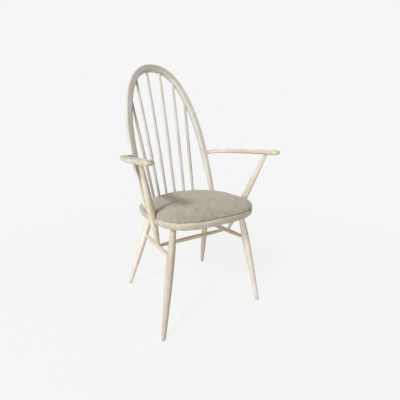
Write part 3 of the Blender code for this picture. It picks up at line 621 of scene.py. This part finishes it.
def plan_outline(half_width, front, rear, rear_power):
    """Even points of a plan and its outward normals: one superellipse ahead, one behind."""
    angle = np.linspace(0.0, 2.0 * math.pi, FINE + 1) + 0.5 * math.pi
    cosine, sine = np.cos(angle), np.sin(angle)
    power = np.where(sine < 0.0, SEAT_FRONT_POWER, rear_power)
    reach = np.where(sine < 0.0, front, rear)
    x = half_width * np.sign(cosine) * np.abs(cosine) ** (2.0 / power)
    y = reach * np.sign(sine) * np.abs(sine) ** (2.0 / power)
    path = np.stack([x, y], axis=1)
    point = resample(path, path_length(path) * np.arange(PLAN_POINTS) / PLAN_POINTS)
    tangent = np.roll(point, -1, axis=0) - np.roll(point, 1, axis=0)
    return point, unit_rows(np.stack([tangent[:, 1], -tangent[:, 0]], axis=1))


def make_board():
    """The board: its outline carried up an undercut, an upright rim and a rounded upper edge."""
    point, normal = plan_outline(SEAT_HALF_WIDTH, SEAT_FRONT, SEAT_REAR, SEAT_REAR_POWER)
    under = np.linspace(0.0, 0.5 * math.pi, UNDERCUT_STEPS)
    over = np.linspace(0.0, 0.5 * math.pi, TOP_ROUND_STEPS)
    inset = np.concatenate([SEAT_UNDERCUT * (1.0 - np.sin(under)),
                            SEAT_TOP_ROUND * (1.0 - np.cos(over))])
    lift = np.concatenate([SEAT_UNDERCUT_RISE * (1.0 - np.cos(under)) - SEAT_THICKNESS + SEAT_SINK,
                           -SEAT_TOP_ROUND * (1.0 - np.sin(over)) - SEAT_SINK])
    plan = point - inset[:, None, None] * normal
    rings = np.dstack([plan, seat_top(plan[:, :, 1]) + lift[:, None]])
    over_plank = rings[:, :, 2] - SEAT_HEIGHT + BOARD_PLANK_LIFT
    grain = timber(BOARD_PLANK, rings[:, :, 0], rings[:, :, 1], over_plank)
    piece_of("seat_board", rings, grain, np.zeros(len(lift)), ELM, BOARD_SHARP_ANGLE)


make_board()


# Legs and stretchers


def leg_ends(front, sign):
    """Foot and top of a leg's axis, the top in the plane of the board's top."""
    foot, seat = FRONT_LEG if front else REAR_LEG
    return mirrored((*foot, 0.0), sign), mirrored((*seat, seat_top(seat[1])), sign)


def leg_axis(front, sign, height):
    """Point of a leg's axis at a height above the floor."""
    foot, top = leg_ends(front, sign)
    return between(foot, top, height / top[2])


def make_leg(name, number, front, sign):
    """A leg: level ellipses along a tilted axis, so that its rounded foot stands flat on the floor."""
    foot, top = leg_ends(front, sign)
    axis = (top - foot) / np.linalg.norm(top - foot)
    tilt = np.array([axis[0], axis[1], 0.0]) / math.hypot(axis[0], axis[1])
    across = np.array([-tilt[1], tilt[0], 0.0])
    turn = np.linspace(0.0, 0.5 * math.pi, FOOT_STEPS)
    shank = np.linspace(FOOT_ROUND, top[2], TURNING_STEPS)[1:]
    height = np.concatenate([FOOT_ROUND * (1.0 - np.cos(turn)), shank])
    tenon = SEAT_THICKNESS + SEAT_TOP_ROUND
    radius = swell(height, top[2], LEG_RADII, LEG_BELLY_HEIGHT, FOOT_ROUND, tenon)
    radius[:len(turn)] -= FOOT_ROUND * (1.0 - np.sin(turn))
    ring = radius[:, None, None] * circle(ROUND)
    centre = foot + height[:, None] / top[2] * (top - foot)
    rings = centre[:, None, :] + ring[:, :, :1] * tilt / axis[2] + ring[:, :, 1:] * across
    rings[-1] = slide_to_seat(rings[-1], axis, -TENON_SINK)
    grain = timber(number, (height / axis[2])[:, None], ring[:, :, 0], ring[:, :, 1])
    wear_and_shade = FOOT_WEAR * np.exp(-height / FOOT_WEAR_HEIGHT)
    piece_of(name, rings, grain, wear_and_shade, BEECH)


for number, (end, front) in enumerate((("front", True), ("rear", False))):
    for side, sign in SIDES:
        make_leg(f"leg_{end}_{side}", LEG_PLANK + 2 * number + int(sign > 0.0), front, sign)


def make_stretcher(name, number, ends, belly, holder):
    """A stretcher: a turning that swells in the middle, its tenons as long as its holders are thick."""
    radii = (STRETCHER_END_RADIUS, belly, STRETCHER_END_RADIUS)
    turned(name, number, *ends, radii, 0.5, TENON_REACH * holder, TENON_REACH * holder)


def stretcher_ends(sign):
    """Both ends of a side stretcher, on the axes of its legs."""
    return (leg_axis(True, sign, FRONT_STRETCHER_HEIGHT),
            leg_axis(False, sign, REAR_STRETCHER_HEIGHT))


def stretcher_point(sign, y):
    """Point of a side stretcher's axis at a place along Y."""
    front, rear = stretcher_ends(sign)
    return between(front, rear, (y - front[1]) / (rear[1] - front[1]))


for number, (side, sign) in enumerate(SIDES):
    make_stretcher("side_stretcher_" + side, SIDE_STRETCHER_PLANK + number, stretcher_ends(sign),
                   SIDE_STRETCHER_RADIUS, LEG_RADII[1])
make_stretcher("cross_stretcher", CROSS_STRETCHER_PLANK,
               [stretcher_point(sign, CROSS_STRETCHER_Y) for side, sign in SIDES],
               CROSS_STRETCHER_RADIUS, SIDE_STRETCHER_RADIUS)


# Back bow

BOW_FOOT_HEIGHT = seat_top(BOW_FOOT_Y)
BOW_FACE = np.array([0.0, -math.cos(BOW_LEAN), math.sin(BOW_LEAN)])


def bow_point(x, height):
    """Point of the bow's leaning plane at a half width and a height above the floor."""
    y = BOW_FOOT_Y + (height - BOW_FOOT_HEIGHT) * math.tan(BOW_LEAN)
    return np.stack(np.broadcast_arrays(x, y, height), axis=-1).astype(float)


def bow_path():
    """Fine line of the bow: legs that ease out in a parabola, then a superellipse arch."""
    height = np.linspace(BOW_FOOT_HEIGHT - SEAT_THICKNESS, BOW_SPRING_HEIGHT, FINE)[:-1]
    share = (BOW_SPRING_HEIGHT - height) / (BOW_SPRING_HEIGHT - BOW_FOOT_HEIGHT)
    leg = bow_point(BOW_HALF_WIDTH - (BOW_HALF_WIDTH - BOW_FOOT_X) * share ** 2, height)
    turn = np.linspace(0.0, 0.5 * math.pi, FINE)
    arch_x = BOW_HALF_WIDTH * np.cos(turn) ** (2.0 / BOW_ARCH_POWER)
    arch_height = (BOW_TOP_HEIGHT - BOW_SPRING_HEIGHT) * np.sin(turn) ** (2.0 / BOW_ARCH_POWER)
    right = np.concatenate([leg, bow_point(arch_x, BOW_SPRING_HEIGHT + arch_height)])
    return np.concatenate([right * (-1.0, 1.0, 1.0), right[-2::-1]])


def make_bow():
    """The bow: a section that grows along its line from a round tenon to a bar with rounded edges.

    Its tone is painted light and shade: it runs from the paler sides to the darker flats with how far a
    point lies towards a flat, and the flats are darker over the left half than over the right.
    """
    path = bow_path()
    along = np.linspace(0.0, path_length(path), BOW_STEPS)
    point = resample(path, along)
    tangent = unit_rows(np.gradient(point, axis=0))
    outward = np.cross(tangent, BOW_FACE)
    rise = (point[:, 2] - BOW_FOOT_HEIGHT) / math.cos(BOW_LEAN)
    fullness = np.sin(0.5 * math.pi * np.clip(rise / BOW_TAPER_LENGTH, 0.0, 1.0))[:, None, None]
    unit = (1.0 - fullness) * superellipse(SECTION, 2.0)
    unit = unit + fullness * superellipse(SECTION, BOW_EDGE_POWER)
    face = unit[:, :, :1] * between(BOW_TENON_RADIUS, BOW_HALF_FACE, fullness)
    depth = unit[:, :, 1:] * between(BOW_TENON_RADIUS, BOW_HALF_DEPTH, fullness)
    rings = point[:, None, :] + face * outward[:, None, :] + depth * BOW_FACE
    for k in (0, BOW_STEPS - 1):
        rings[k] = slide_to_seat(rings[k], tangent[k], TENON_SINK - SEAT_THICKNESS)
    grain = timber(BOW_PLANK, along[:, None], face[:, :, 0], depth[:, :, 0])
    paler = np.clip((along / along[-1] - BOW_FLAT_SHADE_SHARES[0]) / np.ptp(BOW_FLAT_SHADE_SHARES), 0.0, 1.0)
    lead = np.abs(unit[:, :, 1:]) - np.abs(unit[:, :, :1])
    flat = np.clip(BOW_FLAT_START + BOW_FLAT_GAIN * lead, 0.0, 1.0)
    # Painted light and shade: paler sides, darker flats
    tone_and_painted_light = between(BOW_SIDE_PAINTED_LIGHT, between(*BOW_FLAT_PAINTED_SHADES, paler[:, None])[:, None, :], flat)
    piece_of("back_bow", rings, grain, np.zeros(BOW_STEPS), BEECH, tone_and_painted_light=tone_and_painted_light)


make_bow()


# Back spindles


def arch_height_at(x):
    """Height of the arch's centre line at a half width."""
    share = (1.0 - (x / BOW_HALF_WIDTH) ** BOW_ARCH_POWER) ** (1.0 / BOW_ARCH_POWER)
    return BOW_SPRING_HEIGHT + (BOW_TOP_HEIGHT - BOW_SPRING_HEIGHT) * share


def make_spindle(number, sign, row):
    """A spindle: a slender turning from a socket in the board up into the bow."""
    seat_x, bow_x = SPINDLE_SEAT_X[row], SPINDLE_BOW_X[row]
    seat_y = SPINDLE_ROW_Y - SPINDLE_ROW_BEND * seat_x ** 2
    mouth = mirrored((seat_x, seat_y, seat_top(seat_y)), sign)
    top = mirrored(bow_point(bow_x, arch_height_at(bow_x)), sign)
    foot = mouth - (top - mouth) / np.linalg.norm(top - mouth) * SPINDLE_SOCKET_DEPTH
    turned(f"back_spindle_{number}", SPINDLE_PLANK + number - 1, foot, top, SPINDLE_RADII,
           SPINDLE_BELLY_SHARE, SPINDLE_SOCKET_DEPTH, TENON_REACH * BOW_HALF_FACE)


for number, (sign, row) in enumerate(SPINDLE_ROWS, start=1):
    make_spindle(number, sign, row)


# Arms and their posts

ARM_ROOT = bow_point(BOW_HALF_WIDTH, ARM_REAR_HEIGHT)


def arm_path():
    """Fine line of the right arm: one cubic bend in plan and a steady rise."""
    t = np.linspace(0.0, 1.0, FINE)[:, None]
    bends = (ARM_ROOT[:2], (ARM_BEND_X, ARM_ROOT[1]), ARM_REACH, ARM_TIP)
    weights = ((1 - t) ** 3, 3 * t * (1 - t) ** 2, 3 * t ** 2 * (1 - t), t ** 3)
    plan = sum(weight * np.array(bend) for weight, bend in zip(weights, bends))
    return np.hstack([plan, between(ARM_REAR_HEIGHT, ARM_FRONT_HEIGHT, t)])


def make_arm(name, number, sign):
    """An arm: a rounded bar that widens from the bow to the post and closes in a rounded end.

    Over the last ARM_TIP_ROUND of its line, width and thickness fall as a superellipse quadrant.
    """
    path = arm_path()
    length = path_length(path)
    turn = np.linspace(0.0, 0.5 * math.pi, ARM_TIP_STEPS)[1:]
    along = np.concatenate([np.linspace(0.0, length - ARM_TIP_ROUND, ARM_STEPS),
                            length - ARM_TIP_ROUND * (1.0 - np.sin(turn))])
    point = resample(path, along)
    tangent = unit_rows(np.gradient(point, along, axis=0))
    across = unit_rows(np.cross(tangent, (0.0, 0.0, 1.0)))
    upward = np.cross(across, tangent)
    fullness = np.sin(0.5 * math.pi * np.clip(along / (ARM_FULL_SHARE * length), 0.0, 1.0))
    tip = np.clip((along - length + ARM_TIP_ROUND) / ARM_TIP_ROUND, 0.0, 1.0)
    closing = (1.0 - ARM_TIP_CLOSING * tip ** ARM_TIP_POWER) ** (1.0 / ARM_TIP_POWER)
    width = between(*ARM_HALF_WIDTHS, fullness) * closing
    thickness = between(*ARM_HALF_THICKNESSES, fullness) * closing
    unit = superellipse(SECTION, ARM_EDGE_POWER)
    wide, thick = unit[:, 0] * width[:, None], unit[:, 1] * thickness[:, None]
    rings = point[:, None, :] + wide[:, :, None] * across[:, None, :]
    rings = rings + thick[:, :, None] * upward[:, None, :]
    grain = timber(number, along[:, None], wide, thick)
    # The tip's wear, and painted shade darkening the root where the arm meets the bow
    wear_and_shade = ARM_TIP_WEAR * tip ** 2 + ARM_JOINT_PAINTED_SHADE * np.exp(-along / ARM_JOINT_SHADE_LENGTH)
    piece_of(name, rings * (sign, 1.0, 1.0), grain, wear_and_shade, BEECH)


def post_ends():
    """Foot and top of the right post's axis: on the side stretcher, and a tenon deep in the arm."""
    path = arm_path()[::-1]
    foot = stretcher_point(1.0, POST_FOOT_Y)
    below = np.array([np.interp(POST_ARM_Y, path[:, 1], path[:, k]) for k in range(3)])
    below -= (0.0, 0.0, ARM_HALF_THICKNESSES[1])
    axis = (below - foot) / np.linalg.norm(below - foot)
    return foot, below + axis * POST_TENON_DEPTH


def make_post(name, number, sign):
    """A post: a double-tapered turning from a side stretcher, through the board's edge, into the arm."""
    foot, top = post_ends()
    belly_at = (SEAT_HEIGHT - foot[2]) / (top[2] - foot[2])
    turned(name, number, mirrored(foot, sign), mirrored(top, sign), POST_RADII, belly_at,
           TENON_REACH * SIDE_STRETCHER_RADIUS, TENON_REACH * POST_TENON_DEPTH)


for number, (side, sign) in enumerate(SIDES):
    make_arm("arm_" + side, ARM_PLANK + number, sign)
    make_post("arm_post_" + side, POST_PLANK + number, sign)


# Small solids that keep their own shape. The first word found counts, and a plug's name also says screw

FINISHES = {"wedge": END_GRAIN, "plug": END_GRAIN, "screw": ZINC, "zip": ZIP}

for name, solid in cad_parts.items():
    finish = next((FINISHES[word] for word in FINISHES if word in name), None)
    if finish is not None:
        solid.data.materials.clear()
        solid.data.materials.append(finish)


# Seat pad


def pad_height(points):
    """Height of points above the board's top."""
    return points[:, 2] - seat_top(points[:, 1])


def clear_of_bar(points, low, high, keep):
    """Push points level out of a leaning round bar, and out of its mirror image."""
    axis = between(low, high, (points[:, 2:] - low[2]) / (high[2] - low[2]))[:, :2]
    axis[:, 0] *= np.where(points[:, 0] < 0.0, -1.0, 1.0)
    away = points[:, :2] - axis
    distance = np.linalg.norm(away, axis=1)[:, None]
    points[:, :2] = axis + away * np.maximum(1.0, keep / np.maximum(distance, TINY))
    return points


def clear_of_frame(points, bar_gap, row_gap):
    """Keep points a gap off the posts and the bow's feet, ahead of the spindles, and above the board."""
    post_foot, post_top = post_ends()
    clear_of_bar(points, post_foot, post_top, POST_RADII[1] + bar_gap)
    bow_foot = bow_point(BOW_FOOT_X, BOW_FOOT_HEIGHT)
    bow_spring = bow_point(BOW_HALF_WIDTH, BOW_SPRING_HEIGHT)
    bow_radius = between(BOW_TENON_RADIUS, BOW_HALF_DEPTH, PAD_BOW_FULLNESS)
    clear_of_bar(points, bow_foot, bow_spring, bow_radius + bar_gap)
    row = SPINDLE_ROW_Y - SPINDLE_ROW_BEND * points[:, 0] ** 2 - SPINDLE_RADII[1] - row_gap
    points[:, 1] = np.minimum(points[:, 1], row)
    points[:, 2] += np.maximum(PAD_GAP - pad_height(points), 0.0)
    return points


def pad_start():
    """Rings of the pad before it swells: a flat base, sides that pull in between corners, and a dome.

    Below the belly a side is a quarter ellipse. Above it the lift goes from the belly's to the top's
    with one minus a power of how far out a ring lies, under a root: the two powers of the dome.
    """
    rear = SPINDLE_ROW_Y - SPINDLE_RADII[1] - PAD_SPINDLE_GAP - PAD_BULGE
    point, normal = plan_outline(SEAT_HALF_WIDTH - PAD_REVEAL, SEAT_FRONT - PAD_REVEAL, rear,
                                 PAD_REAR_POWER)
    waist = PAD_WAIST * np.cos(2.0 * np.arctan2(point[:, 1], point[:, 0])) ** 2
    turn = np.linspace(0.0, 0.5 * math.pi, PAD_SIDE_STEPS)[:, None, None]
    side = point + (PAD_BULGE * np.sin(turn) - waist[:, None]) * normal
    middle = np.array([0.0, 0.5 * (rear - SEAT_FRONT)])
    share = np.sin(np.linspace(0.5 * math.pi, PAD_DOME_END, PAD_DOME_STEPS))[1:, None, None]
    dome = middle + (side[-1] - middle) * share
    rise = (1.0 - share ** PAD_DOME_POWERS[0]) ** (1.0 / PAD_DOME_POWERS[1])
    lower = PAD_BELLY_LIFT * (1.0 - np.cos(turn))
    upper = between(PAD_BELLY_LIFT, PAD_TOP_LIFT, rise)
    lift = np.concatenate([lower, upper])[:, :, 0]
    plan = np.concatenate([side, dome])
    return np.dstack([plan, seat_top(plan[:, :, 1]) + PAD_GAP + lift])


def read_points(mesh):
    """All points of a mesh as one array."""
    flat = np.empty(3 * len(mesh.vertices))
    mesh.vertices.foreach_get("co", flat)
    return flat.reshape(-1, 3)


def blow_up(pad, rest):
    """Cloth under pressure with its base held still, and no point moved further than the swell."""
    held = pad.vertex_groups.new(name="held")
    held.add(np.nonzero(pad_height(rest) < PAD_HELD_HEIGHT)[0].tolist(), 1.0, "REPLACE")
    cloth = pad.modifiers.new("cloth", "CLOTH")
    cloth.settings.quality = 6
    cloth.settings.mass = 0.25
    cloth.settings.tension_stiffness = 12.0
    cloth.settings.compression_stiffness = 12.0
    cloth.settings.bending_stiffness = 0.6
    cloth.settings.use_pressure = True
    cloth.settings.uniform_pressure_force = PAD_PRESSURE
    cloth.settings.vertex_group_mass = "held"
    cloth.settings.effector_weights.gravity = 0.0
    cloth.point_cache.frame_start = 1
    cloth.point_cache.frame_end = PAD_FRAMES
    for step in range(1, PAD_FRAMES + 1):
        scene.frame_set(step)
    blown = read_points(pad.evaluated_get(bpy.context.evaluated_depsgraph_get()).data)
    pad.modifiers.remove(cloth)
    scene.frame_set(1)
    move = blown - rest
    size = np.linalg.norm(move, axis=1)[:, None]
    return rest + move * np.minimum(1.0, PAD_SWELL / np.maximum(size, TINY))


def make_pad():
    """The pad: its start form remeshed, blown up as cloth, and kept clear of what stands round it."""
    rings = pad_start()
    mesh = mesh_of_rings("seat_pad", rings)
    pad = bpy.data.objects.new("seat_pad", mesh)
    scene.collection.objects.link(pad)
    bpy.context.view_layer.objects.active = pad
    pad.select_set(True)
    mesh.remesh_voxel_size = PAD_VOXEL
    bpy.ops.object.voxel_remesh()
    points = clear_of_frame(read_points(mesh), PAD_BAR_GAP, PAD_SPINDLE_GAP)
    mesh.vertices.foreach_set("co", points.ravel())
    mesh.update()
    points = blow_up(pad, points)
    points = clear_of_frame(points, PAD_GAP, PAD_GAP)
    normals = np.empty(3 * len(points))
    mesh.vertices.foreach_get("normal", normals)
    drop = np.maximum(PAD_TOP_LIFT - pad_height(points), 0.0)
    weave = points * (1.0, 1.0, 0.0)
    weave[:, :2] += normals.reshape(-1, 3)[:, :2] * drop[:, None]
    points[:, 1] += SHIFT_Y
    mesh.vertices.foreach_set("co", points.ravel())
    mesh.attributes.new("weave", "FLOAT_VECTOR", "POINT").data.foreach_set("vector", weave.ravel())
    mesh.materials.append(LINEN)
    mesh.shade_smooth()
    round_off = pad.modifiers.new("round off", "SUBSURF")
    round_off.levels = 1
    round_off.render_levels = 1
    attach(pad, "root")
    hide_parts("seat_pad_cover", "seat_pad_foam")


make_pad()


# Floor, light and camera

SHOWN_COLOUR = 0.9216
WORLD_LIGHT = 0.20
FLOOR_LIT = 0.66
FLOOR_SHARE = 0.12
FLOOR_FADE = (0.5, 1.6)
FLOOR_REACH = 30.0
FLOOR_CORNERS = ((-1, -1), (1, -1), (1, 1), (-1, 1))
WHITE = (1.0, 1.0, 1.0, 1.0)
BLACK = (0.0, 0.0, 0.0, 1.0)
FLOOR_PAINT = (0.80, 0.80, 0.80, 1.0)
LAMP_AIM = (0.0, -0.08, 0.45)
LAMP_REACH = 8.0

# Lamps: name, turn from the chair's left towards its front and rise in degrees, size in metres, watts
LAMPS = (("key", 28.0, 40.0, 1.3, 380.0),
         ("low left", -10.0, 10.0, 3.0, 127.0),
         ("low front", 50.0, 10.0, 3.0, 165.0),
         ("behind", -122.0, 12.0, 4.0, 175.0))

CAMERA_SENSOR = 36.0
CAMERA_LENS = 24.53
CAMERA_SHIFT = (0.0012, 0.0337)
CAMERA_FAR = 200.0
CAMERA_PLACE = (-0.5229, -0.8797, 0.7348)
CAMERA_AZIMUTH = math.radians(-31.90)
CAMERA_DROP = math.radians(18.65)


def shown_to_eye(tree):
    """1 for what the camera sees, directly, mirrored or through glass, and 0 for light on its way."""
    path = add(tree, "ShaderNodeLightPath").outputs
    shown = path["Is Camera Ray"]
    for way in ("Is Glossy Ray", "Is Transmission Ray"):
        either = add(tree, "ShaderNodeMath", {0: shown, 1: path[way]}, operation="MAXIMUM")
        shown = either.outputs["Value"]
    return shown


def make_floor():
    """A wide pale floor: an even colour to the eye, with a share near the chair that takes its shadow.

    The share fades out with distance, and the even colour makes up for what the lit share gives.
    """
    material = bpy.data.materials.new("pale_floor")
    material.use_nodes = True
    tree = material.node_tree
    tree.nodes.clear()
    place = add(tree, "ShaderNodeTexCoord").outputs["Object"]
    distance = add(tree, "ShaderNodeVectorMath", {0: place}, operation="LENGTH").outputs["Value"]
    share = spread(tree, distance, *FLOOR_FADE, FLOOR_SHARE, 0.0)
    level = spread(tree, share, 0.0, FLOOR_SHARE, SHOWN_COLOUR, SHOWN_COLOUR - FLOOR_SHARE * FLOOR_LIT)
    eye = shown_to_eye(tree)
    strength = add(tree, "ShaderNodeMath", {0: level, 1: eye}, operation="MULTIPLY").outputs["Value"]
    even = add(tree, "ShaderNodeEmission", {"Color": WHITE, "Strength": strength})
    near = add(tree, "ShaderNodeMath", {0: share, 1: eye}, operation="MULTIPLY").outputs["Value"]
    tint = mix_colours(tree, near, mix_colours(tree, eye, FLOOR_PAINT, BLACK), FLOOR_PAINT)
    paint = add(tree, "ShaderNodeBsdfDiffuse", {"Color": tint})
    both = add(tree, "ShaderNodeAddShader", {0: paint.outputs["BSDF"], 1: even.outputs["Emission"]})
    add(tree, "ShaderNodeOutputMaterial", {"Surface": both.outputs["Shader"]})
    corners = [(x * FLOOR_REACH, y * FLOOR_REACH, 0.0) for x, y in FLOOR_CORNERS]
    mesh = bpy.data.meshes.new("floor")
    mesh.from_pydata(corners, [], [(0, 1, 2, 3)])
    mesh.materials.append(material)
    floor = bpy.data.objects.new("floor", mesh)
    scene.collection.objects.link(floor)


def make_world():
    """Even pale surroundings: one level for the light they give, another for what the eye sees."""
    world = bpy.data.worlds.new("studio")
    world.use_nodes = True
    scene.world = world
    tree = world.node_tree
    tree.nodes.clear()
    level = spread(tree, shown_to_eye(tree), 0.0, 1.0, WORLD_LIGHT, SHOWN_COLOUR)
    sky = add(tree, "ShaderNodeBackground", {"Color": WHITE, "Strength": level})
    add(tree, "ShaderNodeOutputWorld", {"Surface": sky.outputs["Background"]})


def make_lamp(name, turn, rise, size, power):
    """A soft square lamp, turned from the chair's left to its front, raised, and aimed at the seat."""
    turn, rise = math.radians(turn), math.radians(rise)
    way = Vector((-math.cos(rise) * math.cos(turn), -math.cos(rise) * math.sin(turn), math.sin(rise)))
    lamp = bpy.data.lights.new(name, "AREA")
    lamp.size = size
    lamp.energy = power
    piece = bpy.data.objects.new(name, lamp)
    piece.location = Vector(LAMP_AIM) + LAMP_REACH * way
    piece.rotation_euler = way.to_track_quat("Z", "Y").to_euler()
    scene.collection.objects.link(piece)


def make_camera():
    """The camera of the photograph: a place, a turn about Z, a drop, a lens and a small shift."""
    lens = bpy.data.cameras.new("photo_camera")
    lens.sensor_width = CAMERA_SENSOR
    lens.lens = CAMERA_LENS
    lens.shift_x, lens.shift_y = CAMERA_SHIFT
    lens.clip_end = CAMERA_FAR
    forward = Vector((-math.sin(CAMERA_AZIMUTH) * math.cos(CAMERA_DROP),
                      math.cos(CAMERA_AZIMUTH) * math.cos(CAMERA_DROP), -math.sin(CAMERA_DROP)))
    camera = bpy.data.objects.new("photo_camera", lens)
    camera.location = Vector(CAMERA_PLACE) + Vector((0.0, SHIFT_Y, 0.0))
    camera.rotation_euler = forward.to_track_quat("-Z", "Y").to_euler()
    scene.collection.objects.link(camera)
    scene.camera = camera


make_floor()
make_world()
for lamp in LAMPS:
    make_lamp(*lamp)
make_camera()
scene.view_settings.view_transform = "Standard"
